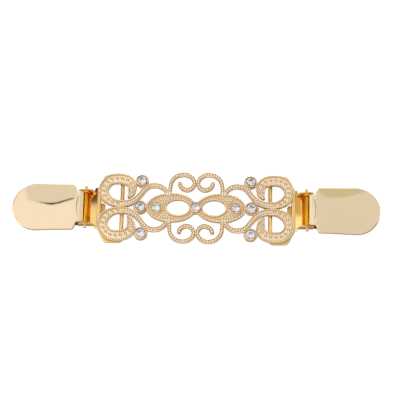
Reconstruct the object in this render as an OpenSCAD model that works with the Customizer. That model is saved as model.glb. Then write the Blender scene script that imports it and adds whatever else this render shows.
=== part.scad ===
// Scarf buckle: a pierced, stone-set scroll ornament with a lever clip hooked to each end.
// Millimetres. X runs along the buckle, Y across it, and Z up from the table that it lies on.
// The origin is under the middle of the ornament. Everything is symmetric in X and in Y.

/* [Ornament] */
// Height of the casting's back face above the table
back_z = 2.7; // [2.6:0.1:3.4]
// Thickness of the casting in its sunken channels
plate_t = 1.4; // [1:0.1:2]
// Height of the rims and rings above the channels
relief_h = 0.4; // [0.2:0.1:0.8]
// Width of a raised rim
rim_w = 0.55; // [0.3:0.05:0.7]
// Half-width of the thin C-scrolls
c_half = 0.9; // [0.9:0.05:1.2]
// Half-length of one of the two ovals in the middle
oval_rx = 10.2; // [10:0.1:10.6]
// Half-height of one oval
oval_ry = 6.2; // [5.8:0.1:6.8]
// Half-length of the opening in an oval
eye_rx = 4.7; // [4:0.1:5]
// Half-height of that opening
eye_ry = 3.2; // [2.6:0.1:3.6]
// Number of little rings in the channel of a big scroll
ring_count = 14; // [8:1:15]
// Distance between two rings along the channel
ring_gap = 2.15; // [1.8:0.05:2.3]
// Outer radius of a little ring
ring_r = 0.75; // [0.5:0.05:0.9]

/* [Stones] */
// Radius of the stones at the girdle
stone_r = 1.85; // [1.6:0.05:2]
// Radius of the stone in the very middle
centre_r = 1.7; // [1.4:0.05:1.9]
// Wall of a stone's cup
cup_wall = 0.5; // [0.3:0.05:0.7]
// Height of a cup's mouth above the table
cup_z = 5.3; // [5:0.1:6]
// Gap between a stone and its cup
stone_gap = 0.08; // [0.04:0.01:0.12]
// X and Y of the stone beside the tip of a big scroll
corner_x = 22.2; // [21.8:0.1:22.6]
corner_y = 11.2; // [10.8:0.1:11.6]
// X of the stone between two big scrolls
mid_x = 22.7; // [22.4:0.1:23]
// X of the stone at the outer end of an oval
eye_x = 16.25; // [16:0.05:16.5]

/* [Clip frame] */
// X of the crossbar that the ornament hooks on
bar_x = 30.3; // [30:0.1:30.6]
// Height of the crossbar's centre
bar_z = 1.7; // [1.6:0.1:1.7]
// Radius of the crossbar
bar_r = 0.8; // [0.6:0.05:0.8]
// Half-width of the strap loop over its bars
loop_half = 14.7; // [14.4:0.1:15.2]
// Width of the loop's bars
loop_w = 1.6; // [1.2:0.1:1.6]
// Thickness of the loop's bars
loop_t = 1.5; // [1:0.1:1.5]
// X where the loop's slot ends at the shoulder
shoulder_x = 38.9; // [38.5:0.1:39.2]
// Half-width of the shoulder
shoulder_half = 8.8; // [8.4:0.1:9.2]
// Half-width over the two upright ears
ear_half = 7.5; // [7.3:0.1:7.8]
// Thickness of the sheet metal
sheet_t = 0.7; // [0.5:0.1:0.7]
// Height of the short panel's underside
panel_z = 0.7; // [0.65:0.05:0.8]
// X where the panel ends, short of the pin
panel_x = 44.2; // [43:0.1:44.2]
// X where the ears end, short of the cover's shoulders
ear_x = 48.1; // [47:0.1:48.2]
// Height of the ears
ear_z = 4.2; // [4:0.1:4.6]

/* [Hinge pin] */
// X of the pin
pin_x = 45.1; // [44.8:0.1:45.4]
// Height of the pin
pin_z = 3; // [2.9:0.1:3.1]
// Radius of the pin
pin_r = 0.75; // [0.6:0.05:0.8]
// Half-length of the pin
pin_half = 9.1; // [8.6:0.1:9.6]
// Gap between the pin and the ears that hold it
pin_seat = 0.03; // [0.02:0.01:0.05]
// Gap between the pin and the cheeks that turn on it
pin_run = 0.06; // [0.03:0.01:0.1]

/* [Cover] */
// X of the cover's tip
tip_x = 75.2; // [74:0.1:77]
// Half-width of the cover at its round end
cover_half = 9.85; // [9.4:0.05:10]
// Half-width of the cover at its shoulders
cover_from = 9.5; // [9.2:0.05:9.8]
// X of the cover's shoulders
shoulders_x = 50; // [49.8:0.1:50.4]
// X of the edge of the cover's neck, clear of the pin
neck_x = 46.7; // [46.6:0.1:47.2]
// Height of the cover at its crown
cover_z = 4.9; // [4.8:0.1:5.2]
// X of the crown, from which the cover slopes down to its tip
crown_x = 52; // [50:0.5:54]
// Radius that the cover is bent to along its length
long_r = 125; // [110:5:200]
// Radius that the cover is bent to across its width
short_r = 36; // [30:1:60]
// Depth of the turned-down edge
edge_h = 1.4; // [1:0.1:1.6]

/* [Hidden] */
$fn = 48;

ring_from = 1.6;
cheek_half = ear_half - sheet_t - 0.15;
hook_y = 9.9;
hook_w = 3;
gold = [0.86, 0.68, 0.45];
bright_gold = [0.9, 0.76, 0.5];
clear = [0.86, 0.88, 0.95];

// Centre line of a big scroll, from its blunt inner tip to where it joins the oval:
// X, Y and half-width of the band
BIG = [
    [27.4, 4.5, 0.7], [26.7, 5.8, 1.4], [26.3, 7.6, 1.75], [26.4, 9.5, 1.9], [28, 11.3, 2.1],
    [31.1, 12.1, 2.2], [34.9, 11.7, 2.2], [37.2, 9.6, 2.15], [37.9, 7.3, 2.05], [37.3, 4.6, 2],
    [35.4, 2.7, 1.8], [32.9, 1.6, 1.5], [30.5, 1.4, 1.45], [28.2, 1.6, 1.35], [26.2, 2.3, 1.25],
    [24.4, 3.6, 1.15], [22.8, 5.3, 1.05], [21, 7.6, 1.05], [19.2, 9, 1.05], [17, 9.4, 1],
    [14.9, 9.1, 1], [13.2, 8, 0.95], [12.1, 6.6, 0.95], [11.7, 5.2, 0.95]];

// Centre line of a C-scroll, from the oval round to its tip: X, Y and half-width
C = [
    [10.8, 5.2, c_half], [10.75, 7.4, c_half], [10.6, 9.3, c_half], [10.2, 11, c_half],
    [9.2, 12.6, c_half], [7.7, 13.7, c_half], [5.9, 14.2, c_half], [4.2, 14.2, c_half],
    [2.7, 13.6, c_half], [1.5, 12.6, c_half], [0.85, 11.3, c_half], [0.85, 10, c_half],
    [1.5, 8.7, c_half], [2.6, 7.9, c_half], [3.9, 7.7, c_half], [5.3, 8.2, c_half],
    [6.3, 9.1, c_half], [6.7, 10.1, c_half]];

// A smooth curve through rows of any length, with n steps from one row to the next
function spline(a, b, c, d, t) =
    0.5 * (2 * b + (c - a) * t + (2 * a - 5 * b + 4 * c - d) * t * t
        + (3 * b - a - 3 * c + d) * t * t * t);
function smooth(rows, n) = let (last = len(rows) - 1) [
    for (i = [0:last - 1], j = [0:n - 1])
        spline(rows[max(i - 1, 0)], rows[i], rows[i + 1], rows[min(i + 2, last)], j / n),
    rows[last]];

// One edge of a band: k is 1 for its left edge and -1 for its right one, moved c to the left
function side(path, k, c) = [
    for (i = [0:len(path) - 1])
        let (p = path[i],
            q = path[min(i + 1, len(path) - 1)] - path[max(i - 1, 0)],
            w = (p[2] * k + c) / norm([q[0], q[1]]))
        [p[0] - q[1] * w, p[1] + q[0] * w]];
function backwards(list) = [for (i = [len(list) - 1:-1:0]) list[i]];

// Distance along a path at each of its points, and the point at distance s
function runs(path) = [
    for (i = 0, s = 0; i < len(path); i = i + 1,
        s = i < len(path) ? s + norm([path[i][0] - path[i - 1][0], path[i][1] - path[i - 1][1]]) : s) s];
function at(path, s) = let (run = runs(path)) [
    for (i = [0:len(path) - 2]) if (run[i] <= s && s < run[i + 1])
        path[i] + (path[i + 1] - path[i]) * (s - run[i]) / (run[i + 1] - run[i])][0];

// An outline with its corners rounded: rows of X, Y and corner radius, walked anticlockwise
function unit(v) = v / norm(v);
function corner(a, b, c, n) =
    let (u = unit([a[0] - b[0], a[1] - b[1]]),
        v = unit([c[0] - b[0], c[1] - b[1]]),
        half = acos(u * v) / 2,
        mid = [b[0], b[1]] + unit(u + v) * b[2] / sin(half),
        from = [b[0], b[1]] + u * b[2] / tan(half) - mid,
        to = [b[0], b[1]] + v * b[2] / tan(half) - mid,
        turn = atan2(from[0] * to[1] - from[1] * to[0], from * to))
    b[2] == 0 ? [[b[0], b[1]]] : [
        for (j = [0:n]) let (t = turn * j / n)
            mid + [from[0] * cos(t) - from[1] * sin(t), from[0] * sin(t) + from[1] * cos(t)]];
function rounded(rows, n) = let (m = len(rows)) [
    for (i = [0:m - 1]) each corner(rows[(i + m - 1) % m], rows[i], rows[(i + 1) % m], n)];

big_path = smooth(BIG, 3);
c_path = smooth(C, 3);

module strip(path, k1, c1, k2, c2) {
    polygon(concat(side(path, k1, c1), backwards(side(path, k2, c2))));
}

module quadrants() {
    for (mx = [0, 1], my = [0, 1]) mirror([mx, 0]) mirror([0, my]) children();
}

module ellipse(x, rx, ry) {
    steps = 48;
    polygon([for (i = [0:steps - 1]) [x + rx * cos(360 * i / steps), ry * sin(360 * i / steps)]]);
}

// The nine stone places: the one in the middle, and the others of one kind
module at_eyes() for (s = [-1, 1]) translate([s * eye_x, 0]) children();
module at_mids() for (s = [-1, 1]) translate([s * mid_x, 0]) children();
module at_corners() quadrants() translate([corner_x, corner_y]) children();

// Everything that the casting covers, seen from the front
module plan() {
    tip = big_path[0];
    bud = c_path[len(c_path) - 1];
    difference() {
        union() {
            quadrants() {
                strip(big_path, 1, 0, -1, 0);
                translate([tip[0], tip[1]]) circle(tip[2]);
                strip(c_path, 1, 0, -1, 0);
                translate([bud[0], bud[1]]) circle(c_half + 0.1);
            }
            for (s = [-1, 1]) ellipse(s * (oval_rx - 0.1), oval_rx, oval_ry);
            circle(centre_r + stone_gap + cup_wall + 0.4);
            at_mids() circle(stone_r + stone_gap + cup_wall + 0.4);
            at_corners() circle(stone_r + stone_gap + cup_wall + 0.35);
        }
        for (s = [-1, 1]) ellipse(s * 7.4, eye_rx, eye_ry);
    }
}

// The raised rims: both edges of the big scrolls, a rib on the C-scrolls, two round each oval
module rims() {
    quadrants() {
        strip(big_path, 1, 0, 1, -rim_w);
        strip(big_path, -1, rim_w, -1, 0);
        strip(c_path, 0, 0.45, 0, -0.45);
    }
    for (s = [-1, 1]) {
        difference() {
            ellipse(s * (oval_rx - 0.1), oval_rx, oval_ry);
            ellipse(s * (oval_rx - 0.1), oval_rx - 0.8, oval_ry - 0.8);
        }
        difference() {
            ellipse(s * 7.4, eye_rx + 0.7, eye_ry + 0.7);
            ellipse(s * 7.4, eye_rx, eye_ry);
        }
    }
}

// A hook under the casting: an eye round the crossbar, carried by a block
module hook() {
    block = 2.4;
    translate([bar_x, hook_y, bar_z]) rotate([-90, 0, 0]) cylinder(r = bar_z, h = hook_w);
    translate([bar_x - block / 2, hook_y, bar_z]) cube([block, hook_w, back_z - bar_z + 0.4]);
}

module cup(r) {
    translate([0, 0, back_z]) cylinder(r = r + stone_gap + cup_wall, h = cup_z - back_z);
}

module cup_bore(r) {
    translate([0, 0, back_z + 0.5]) cylinder(r = r + stone_gap, h = cup_z);
}

module ornament() {
    bar_gap = 0.08;
    color(gold) difference() {
        union() {
            translate([0, 0, back_z]) linear_extrude(plate_t) plan();
            translate([0, 0, back_z]) linear_extrude(plate_t + relief_h) rims();
            quadrants() {
                for (i = [0:ring_count - 1]) {
                    p = at(big_path, ring_from + i * ring_gap);
                    translate([p[0], p[1], back_z]) difference() {
                        cylinder(r = ring_r, h = plate_t + relief_h);
                        translate([0, 0, plate_t]) cylinder(r = ring_r / 2, h = 1);
                    }
                }
                hook();
            }
            cup(centre_r);
            at_mids() cup(stone_r);
            at_corners() cup(stone_r);
            at_eyes() translate([0, 0, -0.3]) cup(stone_r);
        }
        cup_bore(centre_r);
        at_mids() cup_bore(stone_r);
        at_corners() cup_bore(stone_r);
        at_eyes() cup_bore(stone_r);
        for (s = [-1, 1]) translate([s * bar_x, -loop_half, bar_z])
            rotate([-90, 0, 0]) cylinder(r = bar_r + bar_gap, h = 2 * loop_half);
    }
}

// A round stone with a table, eight star and eight main facets and a girdle of sixteen
module stone(x, y, r, z) {
    crown_h = 0.4 * r;
    module slice(radius, n, turn, height) {
        translate([0, 0, height]) rotate(turn) linear_extrude(0.02) circle(radius, $fn = n);
    }
    color(clear) translate([x, y, z]) {
        hull() {
            slice(r, 16, 0, 0);
            slice(0.84 * r, 8, 22.5, 0.58 * crown_h);
            slice(0.56 * r, 8, 0, crown_h);
        }
        hull() {
            slice(r, 16, 0, 0);
            slice(0.1 * r, 8, 0, -0.8 * r);
        }
    }
}

module on_side(s) mirror([s < 0 ? 1 : 0, 0, 0]) children();

// A plate that stands on edge from y0, with an outline drawn in X and Z
module upright(y0, t) {
    translate([0, y0 + t, 0]) rotate([90, 0, 0]) linear_extrude(t) children();
}

// The stamped frame of a clip: strap loop, shoulder, short panel and two ears
module frame(s) {
    slot_half = loop_half - loop_w;
    loop_z = bar_z - loop_t / 2;
    arm_x = 36.4;
    knee_x = 40.6;
    foot_x = 42.3;
    outer = [[bar_x, -loop_half, 0], [arm_x, -loop_half, 1.5], [knee_x, -shoulder_half, 1],
        [knee_x, shoulder_half, 1], [arm_x, loop_half, 1.5], [bar_x, loop_half, 0]];
    slot_end = shoulder_half - 1.1;
    slot = [[bar_x - 1, -slot_half, 0], [arm_x - 0.8, -slot_half, 1], [shoulder_x, -slot_end, 1],
        [shoulder_x, slot_end, 1], [arm_x - 0.8, slot_half, 1], [bar_x - 1, slot_half, 0]];
    bend = [[shoulder_x, loop_z], [knee_x, loop_z], [knee_x + 0.4, panel_z], [foot_x, panel_z],
        [foot_x, panel_z + sheet_t], [knee_x + 0.6, loop_z + loop_t], [shoulder_x, loop_z + loop_t]];
    panel = [[foot_x, panel_z], [panel_x, panel_z], [panel_x, panel_z + sheet_t],
        [foot_x, panel_z + sheet_t]];
    ear = [[foot_x, panel_z, 0], [ear_x, panel_z, 0.8], [ear_x, ear_z, 0.8], [foot_x, ear_z, 0.4]];
    color(bright_gold) on_side(s) difference() {
        union() {
            translate([0, 0, loop_z]) linear_extrude(loop_t) difference() {
                polygon(rounded(outer, 4));
                polygon(rounded(slot, 4));
            }
            translate([bar_x, -loop_half, bar_z]) rotate([-90, 0, 0])
                cylinder(r = bar_r, h = 2 * loop_half);
            upright(-slot_end, 2 * slot_end) polygon(bend);
            upright(-ear_half, 2 * ear_half) polygon(panel);
            for (y = [-ear_half, ear_half - sheet_t]) upright(y, sheet_t) polygon(rounded(ear, 4));
        }
        translate([pin_x, -loop_half, pin_z]) rotate([-90, 0, 0])
            cylinder(r = pin_r + pin_seat, h = 2 * loop_half);
    }
}

// The pin through both ears, with its ends spread like a rivet's
module pin(s) {
    head_t = 0.5;
    head_r = pin_r + 0.15;
    color(gold) on_side(s) translate([pin_x, -pin_half, pin_z]) rotate([-90, 0, 0]) {
        cylinder(r = pin_r, h = 2 * pin_half);
        cylinder(r = head_r, h = head_t);
        translate([0, 0, 2 * pin_half - head_t]) cylinder(r = head_r, h = head_t);
    }
}

// Everything under the cover's bent surface, lowered by d: a thick ring seen from inside
module under_dome(d) {
    translate([crown_x, 0, cover_z - long_r]) rotate([90, 0, 0]) rotate_extrude($fn = 360)
        translate([long_r - short_r, 0]) circle(short_r - d, $fn = 180);
}

// The cover seen from above, made smaller by i all round: a neck, shoulders and a round tip
module cover_plan(i) {
    end_x = tip_x - cover_half;
    neck = cheek_half - i;
    from = cover_from - i;
    to = cover_half - i;
    polygon(rounded([
        [neck_x + i, -neck, 0.3], [neck_x + 1.6 + i, -neck, 1], [shoulders_x + i, -from, 0.8],
        [end_x, -to, 0], [end_x, to, 0], [shoulders_x + i, from, 0.8],
        [neck_x + 1.6 + i, neck, 1], [neck_x + i, neck, 0.3]], 4));
    translate([end_x, 0]) circle(to, $fn = 96);
}

// The lever: a domed cover with a turned-down edge, and two cheeks that turn on the pin
module cover(s) {
    eye_r = 1.5;
    cheek_x = 49;
    cheek = [[pin_x, pin_z - eye_r], [cheek_x, pin_z - 0.4], [cheek_x, pin_z + 1], [pin_x, pin_z + 1]];
    color(bright_gold) on_side(s) {
        difference() {
            intersection() {
                linear_extrude(2 * cover_z) cover_plan(0);
                under_dome(0);
            }
            under_dome(edge_h);
            intersection() {
                translate([0, 0, -1]) linear_extrude(2 * cover_z) cover_plan(sheet_t);
                under_dome(sheet_t);
            }
        }
        for (y = [-cheek_half, cheek_half - sheet_t]) upright(y, sheet_t) difference() {
            union() {
                translate([pin_x, pin_z]) circle(eye_r);
                polygon(cheek);
            }
            translate([pin_x, pin_z]) circle(pin_r + pin_run);
        }
    }
}

// The jaw: a flat plate under the cover, with a row of teeth and a tail under the shoulder
module jaw(s) {
    jaw_t = 0.6;
    tail_x = 37.3;
    tail = 2.4;
    wide_x = 42.5;
    wide = 7;
    end_x = 66.2;
    teeth_x = 70.2;
    teeth = 5;
    pitch = 1.6;
    plate = [[tail_x, -tail, 1], [wide_x - 1, -tail, 0.5], [wide_x, -wide, 1], [end_x, -wide, 0],
        [end_x, wide, 0], [wide_x, wide, 1], [wide_x - 1, tail, 0.5], [tail_x, tail, 1]];
    row = [for (i = [-teeth:teeth]) [i * pitch / 2, (i + teeth) % 2 == 0 ? 1.1 : 1.9]];
    color(bright_gold) on_side(s) {
        linear_extrude(jaw_t) {
            polygon(rounded(plate, 4));
            translate([end_x, 0]) circle(wide);
        }
        translate([teeth_x, 0, 0]) rotate([90, 0, 90]) linear_extrude(jaw_t)
            polygon(concat([[-teeth * pitch / 2, 0]], row, [[teeth * pitch / 2, 0]]));
    }
}

girdle_z = cup_z - 0.25;
ornament();
stone(0, 0, centre_r, girdle_z);  // stone_centre
stone(-eye_x, 0, stone_r, girdle_z - 0.3);  // stone_eye_left
stone(eye_x, 0, stone_r, girdle_z - 0.3);  // stone_eye_right
stone(-mid_x, 0, stone_r, girdle_z);  // stone_mid_left
stone(mid_x, 0, stone_r, girdle_z);  // stone_mid_right
stone(-corner_x, corner_y, stone_r, girdle_z);  // stone_upper_left
stone(corner_x, corner_y, stone_r, girdle_z);  // stone_upper_right
stone(-corner_x, -corner_y, stone_r, girdle_z);  // stone_lower_left
stone(corner_x, -corner_y, stone_r, girdle_z);  // stone_lower_right
frame(-1);  // frame_left
frame(1);  // frame_right
pin(-1);  // pin_left
pin(1);  // pin_right
cover(-1);  // cover_left
cover(1);  // cover_right
jaw(-1);  // jaw_left
jaw(1);  // jaw_right
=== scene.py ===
import bmesh
import bpy
import numpy as np
from mathutils import Matrix


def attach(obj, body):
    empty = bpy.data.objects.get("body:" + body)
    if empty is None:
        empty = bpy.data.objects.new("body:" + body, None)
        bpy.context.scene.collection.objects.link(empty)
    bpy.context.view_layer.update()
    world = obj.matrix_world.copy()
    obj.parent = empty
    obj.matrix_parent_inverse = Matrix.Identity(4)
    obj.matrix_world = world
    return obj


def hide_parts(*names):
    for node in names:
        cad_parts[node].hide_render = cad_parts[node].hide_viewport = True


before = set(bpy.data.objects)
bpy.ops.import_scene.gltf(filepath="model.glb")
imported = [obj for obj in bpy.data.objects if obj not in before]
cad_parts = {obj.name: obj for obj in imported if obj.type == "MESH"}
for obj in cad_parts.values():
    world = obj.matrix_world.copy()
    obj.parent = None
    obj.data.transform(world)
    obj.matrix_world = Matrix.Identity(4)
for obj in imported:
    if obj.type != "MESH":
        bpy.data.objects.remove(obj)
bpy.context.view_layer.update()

# Camera. The buckle lies on a table and is seen from 72 degrees above it, half a metre away,
# turned and rolled by a few degrees. Lengths in this file are millimetres until a mesh is made.
mm = 0.001
view_turn, view_height, view_roll = np.radians([2.75, 72.0, -1.78])
view_distance = 500.0
view_pan = (1.59, 4.45)
sensor_width = 36.0
pixel_size = 0.41
picture_width = 400 * pixel_size


def view_axes(turn, height, roll):
    """Right, up and backward vectors of a camera that goes `turn` round the table's normal,
    rises by `height` from the horizon, and then rolls about its own line of sight."""
    right = np.array([np.cos(turn), np.sin(turn), 0])
    up = np.array([-np.sin(turn) * np.sin(height), np.cos(turn) * np.sin(height), np.cos(height)])
    back = np.array([np.sin(turn) * np.cos(height), -np.cos(turn) * np.cos(height), np.sin(height)])
    return (right * np.cos(roll) + up * np.sin(roll),
            up * np.cos(roll) - right * np.sin(roll), back)


right_axis, up_axis, back_axis = view_axes(view_turn, view_height, view_roll)
eye = (right_axis * view_pan[0] + up_axis * view_pan[1] + back_axis * view_distance) * mm
pose = np.eye(4)
pose[:3, :3] = np.column_stack([right_axis, up_axis, back_axis])
pose[:3, 3] = eye
lens = bpy.data.cameras.new("camera")
lens.sensor_width = sensor_width
lens.lens = sensor_width * view_distance / picture_width
lens.clip_start = 10 * mm
camera = bpy.data.objects.new("camera", lens)
camera.matrix_world = Matrix(pose.tolist())
bpy.context.scene.collection.objects.link(camera)
bpy.context.scene.camera = camera
bpy.context.scene.view_settings.view_transform = "Standard"


# Table. The buckle lies on matt white paper, so wide that low views don't show its edge. Towards
# the camera the paper glows a little, as it does in an overexposed picture; nothing is lit by that.
def new_material(name):
    """A material, its node tree and its Principled shader."""
    made = bpy.data.materials.new(name)
    made.use_nodes = True
    return made, made.node_tree, made.node_tree.nodes["Principled BSDF"]


def object_noise(tree, scale, detail=2):
    """Noise of the point's own place, as a value from 0 to 1. The scale, in waves to a metre, is
    a number or another node's output."""
    noise = tree.nodes.new("ShaderNodeTexNoise")
    noise.inputs["Detail"].default_value = detail
    if isinstance(scale, (int, float)):
        noise.inputs["Scale"].default_value = scale
    else:
        tree.links.new(scale, noise.inputs["Scale"])
    coords = tree.nodes.new("ShaderNodeTexCoord")
    tree.links.new(coords.outputs["Object"], noise.inputs["Vector"])
    return noise.outputs["Fac"]


def mix_colours(factor, first, second):
    """A colour that goes from the first to the second as the factor goes from 0 to 1. Each of
    them is a plain colour or another node's output."""
    tree = factor.id_data
    node = tree.nodes.new("ShaderNodeMix")
    node.data_type = "RGBA"
    for label, colour in (("A", first), ("B", second)):
        if isinstance(colour, tuple):
            node.inputs[label].default_value = (*colour, 1)
        else:
            tree.links.new(colour, node.inputs[label])
    tree.links.new(factor, node.inputs["Factor"])
    return node.outputs["Result"]


def angles_round(steps):
    """Equal steps of angle, once round a circle."""
    return np.linspace(0, 2 * np.pi, steps, endpoint=False)


paper_dull, paper_white, paper_glow = (0.93, 0.93, 0.93), (0.96, 0.96, 0.96), (0.75, 0.75, 0.75)
paper, tree, shader = new_material("white_paper")
fibres = object_noise(tree, 900)
tree.links.new(mix_colours(fibres, paper_dull, paper_white), shader.inputs["Base Color"])
shader.inputs["Roughness"].default_value = 0.9
shader.inputs["Specular IOR Level"].default_value = 0.1
seen = tree.nodes.new("ShaderNodeLightPath").outputs["Is Camera Ray"]
tree.links.new(mix_colours(seen, (0, 0, 0), paper_glow), shader.inputs["Emission Color"])
shader.inputs["Emission Strength"].default_value = 1

table_radius, table_z, table_sides = 9000.0, -0.01, 64
turn = angles_round(table_sides)
rings = np.array([0.02, 0.1, 0.3, 1.0]) * table_radius
top = np.dstack([np.outer(rings, np.cos(turn)), np.outer(rings, np.sin(turn)),
                 np.full((len(rings), table_sides), table_z)])
cell = np.arange((len(rings) - 1) * table_sides).reshape(-1, table_sides)
after = np.roll(cell, -1, 1)
table_faces = np.dstack([cell + table_sides, after + table_sides, after, cell])
sheet = bpy.data.meshes.new("table")
sheet.from_pydata((top.reshape(-1, 3) * mm).tolist(), [],
                  table_faces.reshape(-1, 4).tolist() + [list(range(table_sides))])
sheet.materials.append(paper)
table = bpy.data.objects.new("table", sheet)
bpy.context.scene.collection.objects.link(table)

# Studio. A white tent, dim near the table and at both sides in front, with a window low at the
# back and a soft lamp at the left front. The domed covers mirror a grey card at the back, which is
# yellowish on its right, and a dark line along its top; the panels mirror two brown side cards.
tent_left, tent_right, tent_end, tent_low, front_dim = 1.0, 0.8, 1.65, 0.36, 0.3
window_gain = 2.4
card_dim, card_line, card_edge = 0.82, 0.03, 0.006
left_brown, right_brown, card_yellow = (0.13, 0.075, 0.015), (0.52, 0.4, 0.22), (1, 1, 0.8)
# Top edge of the grey card: bearing from straight back and height over the table, in degrees
card_top = [(-50, 50), (-43, 56), (-41, 58), (-40.3, 61.3), (-38.7, 64), (-35, 65.9), (-28.7, 66.2),
            (-21, 64.7), (-14, 62.8), (-9.3, 60.5), (-5, 51), (1, 45), (4, 46), (7, 51.8), (10.6, 55.2),
            (15.3, 54.6), (20.4, 52), (23.4, 49), (25.5, 42), (30, 15)]


def ramp(source, start, end, low, high, course="SMOOTHSTEP"):
    """A value that goes from low to high while the source goes from start to end, either smoothly
    or in a straight line."""
    tree = source.id_data
    node = tree.nodes.new("ShaderNodeMapRange")
    node.interpolation_type = course
    for label, value in (("From Min", start), ("From Max", end), ("To Min", low), ("To Max", high)):
        node.inputs[label].default_value = value
    tree.links.new(source, node.inputs["Value"])
    return node.outputs["Result"]


def combine(operation, first, second=None):
    """What the math node of this name makes of one or two values."""
    tree = first.id_data
    node = tree.nodes.new("ShaderNodeMath")
    node.operation = operation
    tree.links.new(first, node.inputs[0])
    if second is not None:
        tree.links.new(second, node.inputs[1])
    return node.outputs[0]


tent = bpy.data.worlds.new("studio")
tent.use_nodes = True
bpy.context.scene.world = tent
nodes, links = tent.node_tree.nodes, tent.node_tree.links
coords = nodes.new("ShaderNodeTexCoord")
parts = nodes.new("ShaderNodeSeparateXYZ")
links.new(coords.outputs["Generated"], parts.inputs["Vector"])
x_part, y_part, z_part = parts.outputs
bearing = combine("ARCTAN2", x_part, y_part)
# Height of the card's top edge over the bearing, as a smooth curve
first_bearing, last_bearing = card_top[0][0], card_top[-1][0]
edge = nodes.new("ShaderNodeFloatCurve")
curve = edge.mapping.curves[0]
for degrees, height in card_top:
    spot = ((degrees - first_bearing) / (last_bearing - first_bearing), np.sin(np.radians(height)))
    if degrees in (first_bearing, last_bearing):
        curve.points[0 if degrees == first_bearing else -1].location = spot
    else:
        curve.points.new(*spot)
for point in curve.points:
    point.handle_type = "AUTO_CLAMPED"
edge.mapping.update()
links.new(ramp(bearing, np.radians(first_bearing), np.radians(last_bearing), 0, 1, "LINEAR"),
          edge.inputs["Value"])
# The dark line along that edge, from -41 to about -10 degrees, is thickest at its left end
above = combine("SUBTRACT", z_part, edge.outputs["Value"])
near_edge = combine("MULTIPLY", combine("ABSOLUTE", above),
                    ramp(bearing, np.radians(-41), np.radians(-30), 0.3, 1))
line = ramp(near_edge, 0.004, 0.0105, card_line, 1)
for start, end, low, high in ((-41, -40.6, 1, 0), (-12, -9, 0, 1)):
    away = ramp(bearing, np.radians(start), np.radians(end), low, high)
    line = combine("MAXIMUM", line, away)
# Dim sides in front, the card below its edge, and the window, a patch with soft borders
width = combine("ABSOLUTE", x_part)
sides = combine("MAXIMUM", ramp(y_part, -0.05, 0.1, front_dim, 1), ramp(width, 0.47, 0.5, 1, 0))
card = combine("MAXIMUM", ramp(above, -card_edge, card_edge, card_dim, 1),
               ramp(x_part, -0.396, -0.372, 1, 0))
window = ramp(z_part, 0.2, 0.35, 0, window_gain)
for source, start, end, low, high in ((z_part, 0.54, 0.63, 1, 0), (y_part, 0.2, 0.5, 0, 1),
                                      (width, 0.16, 0.3, 1, 0)):
    window = combine("MULTIPLY", window, ramp(source, start, end, low, high))
# Strength: the tent's, brightest at its right end, times all of these, plus the window
light = ramp(x_part, -0.06, 0.06, tent_left, tent_right)
for factor in (ramp(x_part, 0.47, 0.5, 1, tent_end), card, line, sides,
               ramp(z_part, 0.12, 0.62, tent_low, 1)):
    light = combine("MULTIPLY", light, factor)
light = combine("ADD", light, window)
links.new(light, nodes["Background"].inputs["Strength"])
# Colour: white, but for the card's right part and the cards at both sides
card = ramp(above, -card_edge, card_edge, 1, 0)
for source, start, end in ((x_part, 0.02, 0.1), (z_part, 0.4, 0.6)):
    card = combine("MULTIPLY", card, ramp(source, start, end, 0, 1))
tinted = [(card, card_yellow)]
for sign, brown, low_y, high_y in ((-1, left_brown, 0.312, 0.34), (1, right_brown, 0.25, 0.28)):
    card = ramp(y_part, low_y, high_y, 0, 1)
    for start, end, low, high in ((0.49, 0.52, 0, 1), (0.68, 0.72, 1, 0)):
        part = ramp(x_part, *sorted((sign * start, sign * end)),
                    *((low, high) if sign > 0 else (high, low)))
        card = combine("MULTIPLY", card, part)
    tinted.append((card, brown))
tint = (1, 1, 1)
for card, colour in tinted:
    tint = mix_colours(card, tint, colour)
links.new(tint, nodes["Background"].inputs["Color"])

lamp_way = np.array([-0.85, -0.3, 0.5])
lamp_distance, lamp_size = 800.0, 700.0
lamp_data = bpy.data.lights.new("soft_lamp", "AREA")
lamp_data.energy = 1.6
lamp_data.shape = "DISK"
lamp_data.size = lamp_size * mm
lamp = bpy.data.objects.new("soft_lamp", lamp_data)
lamp.location = lamp_way / np.linalg.norm(lamp_way) * lamp_distance * mm
lamp.rotation_mode = "QUATERNION"
lamp.rotation_quaternion = lamp.location.to_track_quat("Z", "Y")
bpy.context.scene.collection.objects.link(lamp)

# Ornament. One casting with four big scrolls, four C-scrolls, two ovals, nine cups and four hook
# eyes on its back. Zinc, plated in a pale rose gold with a satin face; brown is painted into its
# grooves, hollows and the foot of its walls as painted shade.
back_z, channel_z, rim_z = 2.7, 4.1, 4.5
stone_radius, middle_radius, cup_wall, mouth_z = 1.85, 1.7, 2.0, 5.3
corner_x, corner_y, mid_x, eye_x = 22.2, 11.2, 22.7, 16.25
oval_x, oval_rx, oval_ry = 10.1, 10.2, 6.2
hole_x, hole_rx, hole_ry = 7.4, 4.7, 3.2
bar_x, bar_z, hook_y = 30.3, 1.7, 10.9
c_half, blunt_half, narrow_half = 0.89, 0.7, 1.5
rim_widest, grainy_end, eye_sink = 0.75, 5.6, 2.75
# Middle line of a big scroll, from its blunt start: x, y and half the bar's width
big_scroll = [
    (27.4, 4.5, 0.7), (26.7, 5.8, 1.4), (26.3, 7.6, 1.75), (26.4, 9.5, 1.9), (28, 11.3, 2.1),
    (31.1, 12.1, 2.2), (34.9, 11.7, 2.2), (37.2, 9.6, 2.15), (37.9, 7.3, 2.05), (37.3, 4.6, 2),
    (35.4, 2.7, 1.8), (32.9, 1.6, 1.5), (30.5, 1.4, 1.45), (28.2, 1.6, 1.35), (26.2, 2.3, 1.25),
    (24.4, 3.6, 1.15), (22.8, 5.3, 1.05), (21, 7.6, 1.05), (19.2, 9, 1.05), (17, 9.4, 1),
    (14.9, 9.1, 1), (13.2, 8, 0.95), (12.1, 6.6, 0.95), (11.7, 5.2, 0.95)]
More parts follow.
